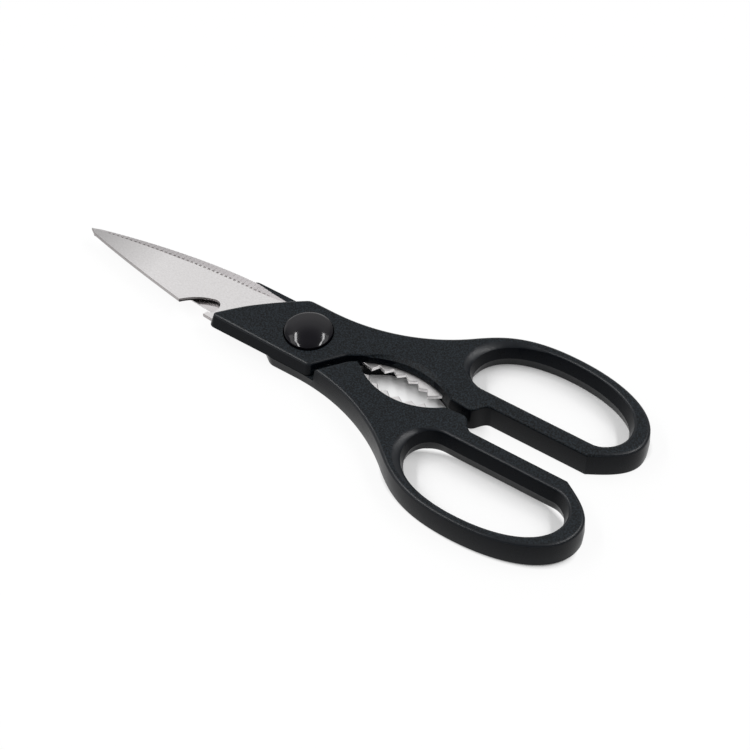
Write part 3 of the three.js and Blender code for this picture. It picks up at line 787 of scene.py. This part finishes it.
FACE = 5.2
COVER_DRAFT = 0.55
NOSE_DRAFT = 0.9
NOSE_DRAFT_X = 24.0
LOOP_DRAFT = 0.25
FILLET_HEIGHT = 0.9
FILLET_STEPS = 6
COVER_FILLET = 1.1
LOOP_FILLET = 1.3
UPPER_NOSE_X = 34.9
COVER_HALF = 12.6
COVER_HEEL = Vector((7.6, -12.6))
COVER_BELLY = Vector((20.9, -2.9))
COVER_SIDE = Vector((-2, -12.6))
REAR_CORNER = Vector((-8.3, 12.6))
REAR_FOOT = Vector((-16, 2.4))
CORNER_ROUND = 1.6
NOSE_ROUND = 2.2

JAW_X = -38.0
JAW_FRONT_X = -25.0
JAW_RADIUS = 34.0
JAW_DEPTH = 5.6
JAW_LIP_RADIUS = 30.0
JAW_LIP_DEPTH = 6.6
JAW_FACE_RADIUS = 25.0
JAW_FACE_DEPTH = 8.4
JAW_BEVEL = 1.0
STOP_INSET = 1.05
STOP_BACK_X = -61.0
STOP_RUN = 6.2

BAR_Y = -5.7
BAR_END_X = -102.0
BAR_END_PULL = Vector((-5, -3))
LOOP_END = Vector((-115.3, -20))
LOOP_END_PULL = Vector((0, 7))
LOOP_CREST = Vector((-78.6, -39.6))
LOOP_CREST_PULL = Vector((18, 0))
NECK = Vector((-47.3, -28.9))
NECK_BACK_PULL = Vector((-6.2, -5))
NECK_FRONT_PULL = Vector((11.3, 10))
COVER_SIDE_PULL = Vector((-18, 0))
LOOP_FULLNESS = 0.6

HOLE_SIDE_Y = -12.2
HOLE_END_X = -108.2
HOLE_FRONT_X = -52.6
HOLE_CREST_Y = -35.4
HOLE_FRONT_ROUND = 8.0
HOLE_END_ROUND = 7.6
HOLE_END_FULLNESS = 0.5
HOLE_FRONT_FULLNESS = 0.55
HOLE_BULGE = 1.1
RELIEF_LEAN = Vector((3.2, -0.7))
RELIEF_DEPTH = 2.2
RELIEF_POWER = 2.5
RELIEF_STEPS = 8

SHOULDER_GAP = 2.2
SHOULDER_AHEAD = Vector((65, 25))
SHOULDER_ROUND = 0.5
LIP_ROUND = 0.3
BORE_RADIUS = 6.9
SEAT_RADIUS = 8.35
SEAT_LEVEL = 4.0
SEAT_ROUND = 0.2
EDGE_STEPS = 4

JAW_CENTRE = Vector((JAW_X, JAW_RADIUS - JAW_DEPTH))
JAW_FRONT_TURN = -math.acos((JAW_FRONT_X - JAW_X) / JAW_RADIUS)
JAW_BACK_TURN = math.asin((JAW_CENTRE.y + STOP_INSET) / JAW_RADIUS) - math.pi


def towards_point(start, end, length):
    """Point at a length from a start, on the way to an end."""
    return start + (end - start).normalized() * length


def round_corner(before, corner, after, radius):
    """Points of a rounded corner."""
    start = towards_point(corner, before, radius)
    end = towards_point(corner, after, radius)
    return bend(start, corner, end) + [end]


def quarter(start, end, along_x, fullness):
    """Points of a quarter turn, which sets off along X or along Y, without the last one."""
    way = (end - start) * fullness
    first = Vector((way.x, 0)) if along_x else Vector((0, way.y))
    return bezier(start, start + first, end - (way - first), end)


def rear_bend():
    """Foot of the cover's rear edge and its bend into the jaw's arc, with the arc's first point."""
    outward = Vector((math.cos(JAW_FRONT_TURN), math.sin(JAW_FRONT_TURN)))
    jaw_start = JAW_CENTRE + outward * JAW_RADIUS
    tangent = jaw_start + Vector((outward.y, -outward.x))
    lines = [p.to_3d() for p in (REAR_CORNER, REAR_FOOT, jaw_start, tangent)]
    corner = intersect_line_line(*lines)[0].xy
    return bend(REAR_FOOT, corner, jaw_start) + [jaw_start]


def handle_ring(nose_x):
    """Outline on the parting plane: cover, rear edge, jaw, stop, bar, loop and neck."""
    nose = Vector((nose_x, COVER_HALF))
    lean = math.atan2(nose.y - COVER_BELLY.y, nose.x - COVER_BELLY.x)
    setback = NOSE_ROUND / math.tan(lean / 2)
    nose_start = towards_point(nose, COVER_BELLY, setback)
    nose_top = nose - Vector((setback, 0))
    nose_centre = nose_top - Vector((0, NOSE_ROUND))
    stop_mid_x = STOP_BACK_X - STOP_RUN / 2
    stop_back = Vector((STOP_BACK_X, -STOP_INSET))
    stop_end = Vector((STOP_BACK_X - STOP_RUN, BAR_Y))
    stop_pulls = Vector((stop_mid_x, -STOP_INSET)), Vector((stop_mid_x, BAR_Y))
    bar_end = Vector((BAR_END_X, BAR_Y))
    heel_corner = round_corner(COVER_SIDE, COVER_HEEL, COVER_BELLY, CORNER_ROUND)

    ring = [nose_top]
    ring += round_corner(nose_top, REAR_CORNER, REAR_FOOT, CORNER_ROUND)
    ring += rear_bend()[:-1]
    ring += arc(JAW_CENTRE, JAW_RADIUS, JAW_FRONT_TURN, JAW_BACK_TURN)
    ring += bezier(stop_back, *stop_pulls, stop_end) + [stop_end]
    ring += bezier(bar_end, bar_end + BAR_END_PULL, LOOP_END + LOOP_END_PULL, LOOP_END)
    ring += quarter(LOOP_END, LOOP_CREST, False, LOOP_FULLNESS)
    ring += bezier(LOOP_CREST, LOOP_CREST + LOOP_CREST_PULL, NECK + NECK_BACK_PULL, NECK)
    ring += bezier(NECK, NECK + NECK_FRONT_PULL, COVER_SIDE + COVER_SIDE_PULL, COVER_SIDE)
    ring += [COVER_SIDE] + heel_corner[:-1]
    ring += bend(heel_corner[-1], COVER_BELLY, nose_start)
    return ring + arc(nose_centre, NOSE_ROUND, lean - math.pi / 2, math.pi / 2)


def hole_ring():
    """Finger hole on the parting plane, where its wall bulges furthest in."""
    front = Vector((HOLE_FRONT_X, LOOP_END.y))
    front_corner = Vector((HOLE_FRONT_X - HOLE_FRONT_ROUND, HOLE_SIDE_Y))
    end_corner = Vector((HOLE_END_X + HOLE_END_ROUND, HOLE_SIDE_Y))
    end = Vector((HOLE_END_X, LOOP_END.y))
    crest = Vector((LOOP_CREST.x, HOLE_CREST_Y))
    ring = [front_corner]
    ring += quarter(end_corner, end, True, HOLE_END_FULLNESS)
    ring += quarter(end, crest, False, LOOP_FULLNESS)
    ring += quarter(crest, front, True, LOOP_FULLNESS)
    return ring + quarter(front, front_corner, False, HOLE_FRONT_FULLNESS)


def moulding(name, nose_x):
    """Full moulding: drafted away from the parting plane both ways, with rounded face edges."""
    outer = handle_ring(nose_x)
    hole = hole_ring()
    span = REAR_CORNER.x - NECK.x
    shares = [min(max((REAR_CORNER.x - p.x) / span, 0), 1) for p in outer]
    shares = [share * share * (3 - 2 * share) for share in shares]
    drafts = [COVER_DRAFT + (LOOP_DRAFT - COVER_DRAFT) * share for share in shares]
    ahead = [max(p.x - NOSE_DRAFT_X, 0) / (nose_x - NOSE_DRAFT_X) for p in outer]
    drafts = [draft + NOSE_DRAFT * share for draft, share in zip(drafts, ahead)]
    fillets = [COVER_FILLET + (LOOP_FILLET - COVER_FILLET) * share for share in shares]
    levels = [(0, 0, 0)]
    for step in range(FILLET_STEPS + 1):
        turn = step / FILLET_STEPS * math.pi / 2
        level = (FACE - FILLET_HEIGHT * (1 - math.sin(turn)), 1, 1 - math.cos(turn))
        levels = [(-level[0], *level[1:])] + levels + [level]
    walls = []
    holes = []
    for z, drafted, rounded in levels:
        inset = [-drafted * draft - rounded * fillet for draft, fillet in zip(drafts, fillets)]
        walls.append(at_level(offset(outer, inset), z))
        holes.append(at_level(grown(hole, drafted * HOLE_BULGE + rounded * LOOP_FILLET), z))
    return skin(name, walls, holes)


def finger_relief(side):
    """Finger rest: the hole's front end rolled over towards the pivot, on one face."""
    ring = grown(hole_ring(), HOLE_BULGE * (1 - RELIEF_DEPTH / FACE))
    rings = []
    for step in range(RELIEF_STEPS + 1):
        share = step / RELIEF_STEPS
        lean = RELIEF_LEAN * share**RELIEF_POWER
        level = FACE - RELIEF_DEPTH * (1 - share)
        rings.append(at_level([p + lean for p in ring], side * level))
    rings.append(at_level([p + RELIEF_LEAN for p in ring], side * (FACE + PAST)))
    return skin("finger relief", rings)


def rounded_cutter(name, ring, face, depth, radius):
    """Upright cutter from a face to a depth inside, which rounds the edge that it leaves there."""
    side = 1 if face > depth else -1
    rings = [at_level(ring, depth)]
    for step in range(EDGE_STEPS + 1):
        turn = step / EDGE_STEPS * math.pi / 2
        wider = grown(ring, radius * (1 - math.cos(turn)))
        rings.append(at_level(wider, face - side * radius * (1 - math.sin(turn))))
    rings.append(at_level(wider, face + side * PAST))
    return skin(name, rings)


def shoulder_ring():
    """Room for the other half's cover: everything ahead of that cover's rear edge."""
    beyond = REAR_CORNER * 2 - REAR_FOOT
    edge = [Vector((p.x, -p.y)) for p in reversed([beyond] + rear_bend())]
    ahead = [
        Vector((SHOULDER_AHEAD.x, -beyond.y)),
        SHOULDER_AHEAD,
        Vector((edge[0].x, SHOULDER_AHEAD.y)),
    ]
    return grown(edge + ahead, SHOULDER_GAP)


def handle_tools(blade):
    """Cutters for the shoulder, the tang's pocket, the jaw, the finger rests and the pivot's seat."""
    jaw_wall = circle(JAW_RADIUS, JAW_CENTRE)
    jaw_lip = circle(JAW_LIP_RADIUS, Vector((JAW_X, JAW_LIP_RADIUS - JAW_LIP_DEPTH)))
    jaw_face = circle(JAW_FACE_RADIUS, Vector((JAW_X, JAW_FACE_RADIUS - JAW_FACE_DEPTH)))
    jaw = [
        at_level(jaw_wall, BLADE_OUTER + FIT),
        at_level(jaw_lip, FACE - JAW_BEVEL),
        at_level(jaw_face, FACE),
        at_level(jaw_face, FACE + PAST),
    ]
    pocket = grown(blade_back(blade, toothed=False) + blade_edge(blade), FIT)
    return [
        rounded_cutter("shoulder", shoulder_ring(), -FACE, BLADE_INNER, SHOULDER_ROUND),
        prism("tang pocket", pocket, BLADE_INNER - FIT, BLADE_OUTER + FIT),
        skin("jaw bevel", jaw),
        rounded_cutter("jaw underside", jaw_face, -FACE, BLADE_INNER - FIT, LIP_ROUND),
        finger_relief(1),
        finger_relief(-1),
        prism("bore", circle(BORE_RADIUS), 0, FACE),
        rounded_cutter("seat", circle(SEAT_RADIUS), FACE, SEAT_LEVEL, SEAT_ROUND),
    ]


# Spark-eroded black polyamide: the mould's flat faces are eroded, which gives the handle's faces a
# fine speckled grain 0.2 mm wide that takes the shine off them. It is drawn 0.5 mm wide.
GRAIN = 0.5
GRAIN_SPREAD = (0.35, 0.7)
GRAIN_DEPTH = 0.1
GRAIN_STRENGTH = 0.5
GRAINED_LIGHT = "#20272d"
GRAINED_DARK = "#020304"
GRAINED_ROUGHNESS = 0.5
GRAINED_REFLECTION = 0.16
POLYAMIDE_IOR = 1.53
grained_finish, tree = new_material("spark-eroded black polyamide")
coords = add_node(tree, "ShaderNodeTexCoord").outputs["Object"]
grain = add_node(
    tree,
    "ShaderNodeTexNoise",
    {"Vector": coords, "Scale": 1 / (GRAIN * MM), "Detail": 2, "Roughness": 0.6},
)
speckle = add_node(
    tree,
    "ShaderNodeMapRange",
    {"Value": grain.outputs[0], "From Min": GRAIN_SPREAD[0], "From Max": GRAIN_SPREAD[1]},
    interpolation_type="SMOOTHSTEP",
)
tint = add_node(
    tree,
    "ShaderNodeMix",
    {0: speckle.outputs[0], 6: linear(GRAINED_DARK), 7: linear(GRAINED_LIGHT)},
    data_type="RGBA",
)
relief = add_node(
    tree,
    "ShaderNodeBump",
    {"Height": grain.outputs[0], "Strength": GRAIN_STRENGTH, "Distance": GRAIN_DEPTH * MM},
)
plastic = add_node(
    tree,
    "ShaderNodeBsdfPrincipled",
    {
        "Base Color": tint.outputs[2],
        "Roughness": GRAINED_ROUGHNESS,
        "IOR": POLYAMIDE_IOR,
        "Specular IOR Level": GRAINED_REFLECTION,
        "Normal": relief.outputs[0],
    },
)
add_node(tree, "ShaderNodeOutputMaterial", {"Surface": plastic.outputs[0]})


FLOW_MARK = 2.0


def flowed_plastic(name, dark, light, roughness, reflection):
    """Smooth moulded polyamide with broad flow marks between a dark and a light colour."""
    material, tree = new_material(name)
    coords = add_node(tree, "ShaderNodeTexCoord").outputs["Object"]
    flow = add_node(tree, "ShaderNodeTexNoise", {"Vector": coords, "Scale": 1 / (FLOW_MARK * MM)})
    tint = add_node(
        tree,
        "ShaderNodeMix",
        {0: flow.outputs[0], 6: linear(dark), 7: linear(light)},
        data_type="RGBA",
    )
    rough = add_node(
        tree,
        "ShaderNodeMapRange",
        {"Value": flow.outputs[0], "To Min": roughness[0], "To Max": roughness[1]},
    )
    plastic = add_node(
        tree,
        "ShaderNodeBsdfPrincipled",
        {
            "Base Color": tint.outputs[2],
            "Roughness": rough.outputs[0],
            "IOR": POLYAMIDE_IOR,
            "Specular IOR Level": reflection,
        },
    )
    add_node(tree, "ShaderNodeOutputMaterial", {"Surface": plastic.outputs[0]})
    return material


# Smooth black polyamide: the mould's walls are stoned smooth, so the handle's walls mirror the table
# softly, with flow marks about 2 mm wide.
smooth_finish = flowed_plastic(
    "smooth black polyamide",
    dark="#04060a",
    light="#090d13",
    roughness=(0.24, 0.34),
    reflection=0.07,
)

# Hand-polished black polyamide: use has polished the rounded edges and the finger rests, so that they
# catch thin lines of light.
worn_finish = flowed_plastic(
    "hand-polished black polyamide",
    dark="#0a0d12",
    light="#12171d",
    roughness=(0.3, 0.38),
    reflection=0.28,
)

FACE_FACING = 0.985
EDGE_FACING = 0.35


def finish_handle(handle):
    """Gives flat faces and the jaw's lip their grain, and walls and other edges their own finish."""
    handle.data.materials.clear()
    finishes = [smooth_finish, worn_finish, grained_finish]
    for finish in finishes:
        handle.data.materials.append(finish)
    for face in handle.data.polygons:
        facing = abs(face.normal.z)
        beside_jaw = face.center.x < REAR_FOOT.x and face.center.y > -JAW_FACE_DEPTH
        if facing > EDGE_FACING:
            grained = facing > FACE_FACING or beside_jaw
            face.material_index = finishes.index(grained_finish if grained else worn_finish)


handle = moulding("handle_upper", UPPER_NOSE_X)
carve(handle, handle_tools(UPPER_BLADE))
finish_handle(handle)
settle(handle, UPPER_HALF)
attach(handle, "upper_half")
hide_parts("upper_handle")


# Lower handle: the same moulding turned over, round the lower blade's tang. Its cover is a little
# shorter at the nose.

LOWER_NOSE_X = 33.5

handle = moulding("handle_lower", LOWER_NOSE_X)
carve(handle, handle_tools(LOWER_BLADE))
finish_handle(handle)
settle(handle, LOWER_HALF)
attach(handle, "lower_half")
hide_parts("lower_handle")


# Pivot screw and washers: a slotted shoulder screw of turned steel joins the halves. A wave washer
# under its head and a flat one under the nut keep the blades pressed together.

# Turned steel: the tool leaves fine rings round the screw's axis, 0.1 mm apart, which spread each
# highlight into a fan. They are drawn 0.25 mm apart, so that they show.
RING_SPACING = 0.25
RING_WANDER = 0.5
WAVE_TEXTURE_TURNS = 20
TURNED_LIGHT = "#b4b2b0"
TURNED_DARK = "#908e8c"
TURNED_ROUGHNESS = (0.28, 0.4)
turned_finish, tree = new_material("turned steel")
coords = add_node(tree, "ShaderNodeTexCoord").outputs["Object"]
centred = add_node(tree, "ShaderNodeMapping", {"Vector": coords, "Location": -PIVOT})
rings = add_node(
    tree,
    "ShaderNodeTexWave",
    {
        "Vector": centred.outputs[0],
        "Scale": math.tau / (WAVE_TEXTURE_TURNS * RING_SPACING * MM),
        "Distortion": RING_WANDER,
    },
    wave_type="RINGS",
    rings_direction="Z",
)
tint = add_node(
    tree,
    "ShaderNodeMix",
    {0: rings.outputs[1], 6: linear(TURNED_DARK), 7: linear(TURNED_LIGHT)},
    data_type="RGBA",
)
rough = add_node(
    tree,
    "ShaderNodeMapRange",
    {"Value": rings.outputs[1], "To Min": TURNED_ROUGHNESS[0], "To Max": TURNED_ROUGHNESS[1]},
)
turned = add_node(
    tree,
    "ShaderNodeBsdfPrincipled",
    {"Base Color": tint.outputs[2], "Metallic": 1.0, "Roughness": rough.outputs[0]},
)
add_node(tree, "ShaderNodeOutputMaterial", {"Surface": turned.outputs[0]})

for name in ("pivot_screw", "wave_washer", "nut_washer"):
    bpy.data.objects[name].material_slots[0].material = turned_finish


# Pivot nut: a round flanged nut of turned steel, sunk into the lower cover. The screw's thread runs
# up its bore, and a straight slot across its face takes the driver.

NUT_RADIUS = 8.05
NUT_BARREL_RADIUS = 6.6
NUT_BORE = 2.7
NUT_LOW = 2.75
NUT_FLANGE_LOW = SEAT_LEVEL + FIT
NUT_TOP = FACE - 0.15
NUT_CHAMFER = 0.25
SLOT_WIDTH = 1.2
SLOT_DEPTH = 0.7

outside = [
    (NUT_BARREL_RADIUS, NUT_LOW),
    (NUT_BARREL_RADIUS, NUT_FLANGE_LOW),
    (NUT_RADIUS, NUT_FLANGE_LOW),
    (NUT_RADIUS, NUT_TOP - NUT_CHAMFER),
    (NUT_RADIUS - NUT_CHAMFER, NUT_TOP),
]
inside = [
    (NUT_BORE, NUT_LOW),
    (NUT_BORE, NUT_TOP - NUT_CHAMFER),
    (NUT_BORE + NUT_CHAMFER, NUT_TOP),
]
nut = skin(
    "nut_slotted",
    [at_level(circle(radius), z) for radius, z in outside],
    [at_level(circle(radius), z) for radius, z in inside],
)
nut.data.materials.append(turned_finish)
slot_half = Vector((NUT_RADIUS + PAST, SLOT_WIDTH / 2))
slot_ring = [Vector(corner) * slot_half for corner in SQUARE]
carve(nut, [prism("slot", slot_ring, NUT_TOP - SLOT_DEPTH, NUT_TOP + PAST)])
settle(nut, LOWER_HALF)
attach(nut, "lower_half")
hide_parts("pivot_nut")


# Pivot cap: a domed disc of black ABS with a chamfered rim, moulded in a polished mould. It is
# pressed over the screw's head and hides it; its skirt goes round the head, and its rim stands in the
# cover's seat.

CAP_RADIUS = 8.05
CAP_RIM = Vector((CAP_RADIUS, FACE + 0.8))
CAP_ROUND = 0.15
DOME_FOOT = CAP_RIM + Vector((-0.75, 0.5))
DOME_TOP = FACE + 3.0
CAP_CEILING = 4.45
SKIRT_LOW = 2.95
SKIRT_INNER = 5.7
SKIRT_OUTER = 6.6
POLE_RADIUS = 0.05

dome_rise = DOME_TOP - DOME_FOOT.y
dome_radius = (DOME_FOOT.x**2 + dome_rise**2) / (2 * dome_rise)
dome_spread = math.asin(DOME_FOOT.x / dome_radius)
pole_spread = POLE_RADIUS / dome_radius
turns = [dome_spread + (pole_spread - dome_spread) * i / CURVE_STEPS for i in range(CURVE_STEPS + 1)]
dome = [Vector((math.sin(t), math.cos(t) - 1)) * dome_radius + Vector((0, DOME_TOP)) for t in turns]
profile = [
    Vector((SKIRT_INNER, CAP_CEILING)),
    Vector((SKIRT_INNER, SKIRT_LOW)),
    Vector((SKIRT_OUTER, SKIRT_LOW)),
    Vector((SKIRT_OUTER, SEAT_LEVEL + FIT)),
    Vector((CAP_RADIUS, SEAT_LEVEL + FIT)),
]
profile += round_corner(profile[-1], CAP_RIM, DOME_FOOT, CAP_ROUND)
cap = skin("cap_dome", [at_level(circle(p.x), p.y) for p in profile + dome])

# Polished black ABS: smooth and deep black, so that it mirrors the softboxes as curved streaks. The
# polish leaves soft waves about 5 mm wide.
POLISH_WAVE = 5.0
ABS_LIGHT = "#0d0b12"
ABS_DARK = "#07060b"
ABS_ROUGHNESS = (0.06, 0.14)
ABS_IOR = 1.53
ABS_REFLECTION = 0.3
gloss_finish, tree = new_material("polished black ABS")
coords = add_node(tree, "ShaderNodeTexCoord").outputs["Object"]
waves = add_node(
    tree, "ShaderNodeTexNoise", {"Vector": coords, "Scale": 1 / (POLISH_WAVE * MM), "Detail": 1}
)
tint = add_node(
    tree,
    "ShaderNodeMix",
    {0: waves.outputs[0], 6: linear(ABS_DARK), 7: linear(ABS_LIGHT)},
    data_type="RGBA",
)
rough = add_node(
    tree,
    "ShaderNodeMapRange",
    {"Value": waves.outputs[0], "To Min": ABS_ROUGHNESS[0], "To Max": ABS_ROUGHNESS[1]},
)
gloss = add_node(
    tree,
    "ShaderNodeBsdfPrincipled",
    {
        "Base Color": tint.outputs[2],
        "Roughness": rough.outputs[0],
        "IOR": ABS_IOR,
        "Specular IOR Level": ABS_REFLECTION,
    },
)
add_node(tree, "ShaderNodeOutputMaterial", {"Surface": gloss.outputs[0]})

cap.data.materials.append(gloss_finish)
settle(cap, UPPER_HALF)
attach(cap, "lower_half")
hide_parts("pivot_cap")
